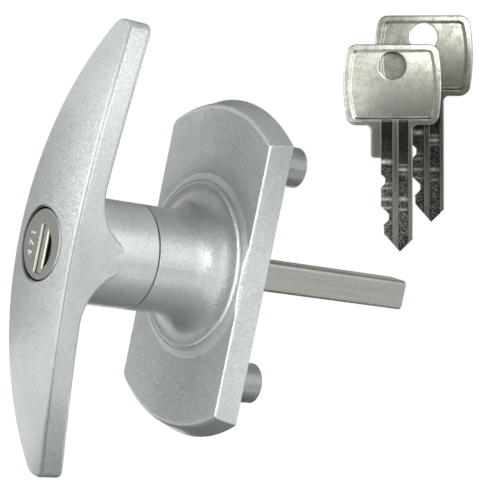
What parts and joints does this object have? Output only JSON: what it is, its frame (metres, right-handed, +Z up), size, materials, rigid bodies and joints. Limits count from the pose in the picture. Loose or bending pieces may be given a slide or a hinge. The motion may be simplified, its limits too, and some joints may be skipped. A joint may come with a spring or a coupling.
{
  "type": "garage door lock",
  "caption": "Locking T handle for a garage door, with a drafted escutcheon, square spindle, wafer lock barrel, locking bolt and a pair of loose keys.",
  "frame": {"origin": "on the spindle's axis in the plane of the door's face, midway between the two fixing posts", "axes": "+Y into the door along the spindle, +Z up along the plate's long side, +X to the right for someone outside the door"},
  "size_m": [0.1168, 0.1126, 0.1311],
  "materials": {
    "silver_paint": "silver metallic paint on die-cast zinc, semi-gloss with a fine sparkle",
    "spindle_steel": "dull zinc-plated steel bar",
    "plated_steel": "zinc-plated steel",
    "spring_steel": "dark oiled spring steel",
    "nickelled_zinc": "satin nickel on die-cast zinc",
    "shutter_steel": "bright warm-toned steel",
    "brass": "plain pressed brass",
    "key_nickel": "bright nickel on brass, dark in the grooves"
  },
  "bodies": {
    "escutcheon": {"escutcheon": "silver_paint", "key_front": "key_nickel", "key_rear": "key_nickel"},
    "handle": {"handle": "silver_paint", "spindle": "spindle_steel", "spindle_pin": "plated_steel", "stop_plate": "plated_steel", "spring_washer": "spring_steel", "circlip": "spring_steel"},
    "barrel": {"barrel": "nickelled_zinc", "wafer_springs": "spring_steel", "barrel_retainer": "brass", "retainer_spring": "spring_steel", "shutter_pin": "plated_steel"},
    "locking_bolt": {"locking_bolt": "plated_steel"},
    "dust_shutter": {"dust_shutter": "shutter_steel"},
    "wafer_1": {"wafer_1": "brass"},
    "wafer_2": {"wafer_2": "brass"},
    "wafer_3": {"wafer_3": "brass"},
    "wafer_4": {"wafer_4": "brass"},
    "wafer_5": {"wafer_5": "brass"}
  },
  "joints": [
    {"name": "handle_turn", "type": "hinge", "parent": "escutcheon", "child": "handle", "pos_m": [0, 0, 0], "axis": [0, 1, 0], "range_deg": [0, 90]},
    {"name": "plug_turn", "type": "hinge", "parent": "handle", "child": "barrel", "pos_m": [0, 0, 0], "axis": [0, 1, 0], "range_deg": [0, 90]},
    {"name": "bolt_slide", "type": "slide", "parent": "handle", "child": "locking_bolt", "axis": [0, 0, 1], "range_m": [0, 0.00312]},
    {"name": "shutter_swing", "type": "hinge", "parent": "barrel", "child": "dust_shutter", "pos_m": [0.00145, -0.04945, -0.0012], "axis": [0, 0, -1], "range_deg": [0, 70], "stiffness_Nm_per_rad": 0.0005},
    {"name": "wafer_1_slide", "type": "slide", "parent": "barrel", "child": "wafer_1", "axis": [0, 0, 1], "range_m": [0, 0.0009], "stiffness_N_per_m": 400},
    {"name": "wafer_2_slide", "type": "slide", "parent": "barrel", "child": "wafer_2", "axis": [0, 0, 1], "range_m": [0, 0.0009], "stiffness_N_per_m": 400},
    {"name": "wafer_3_slide", "type": "slide", "parent": "barrel", "child": "wafer_3", "axis": [0, 0, 1], "range_m": [0, 0.0009], "stiffness_N_per_m": 400},
    {"name": "wafer_4_slide", "type": "slide", "parent": "barrel", "child": "wafer_4", "axis": [0, 0, 1], "range_m": [0, 0.0009], "stiffness_N_per_m": 400},
    {"name": "wafer_5_slide", "type": "slide", "parent": "barrel", "child": "wafer_5", "axis": [0, 0, 1], "range_m": [0, 0.0009], "stiffness_N_per_m": 400}
  ],
  "couplings": [
    {"joint": "bolt_slide", "follows": "plug_turn", "m_per_rad": 0.0019807}
  ]
}
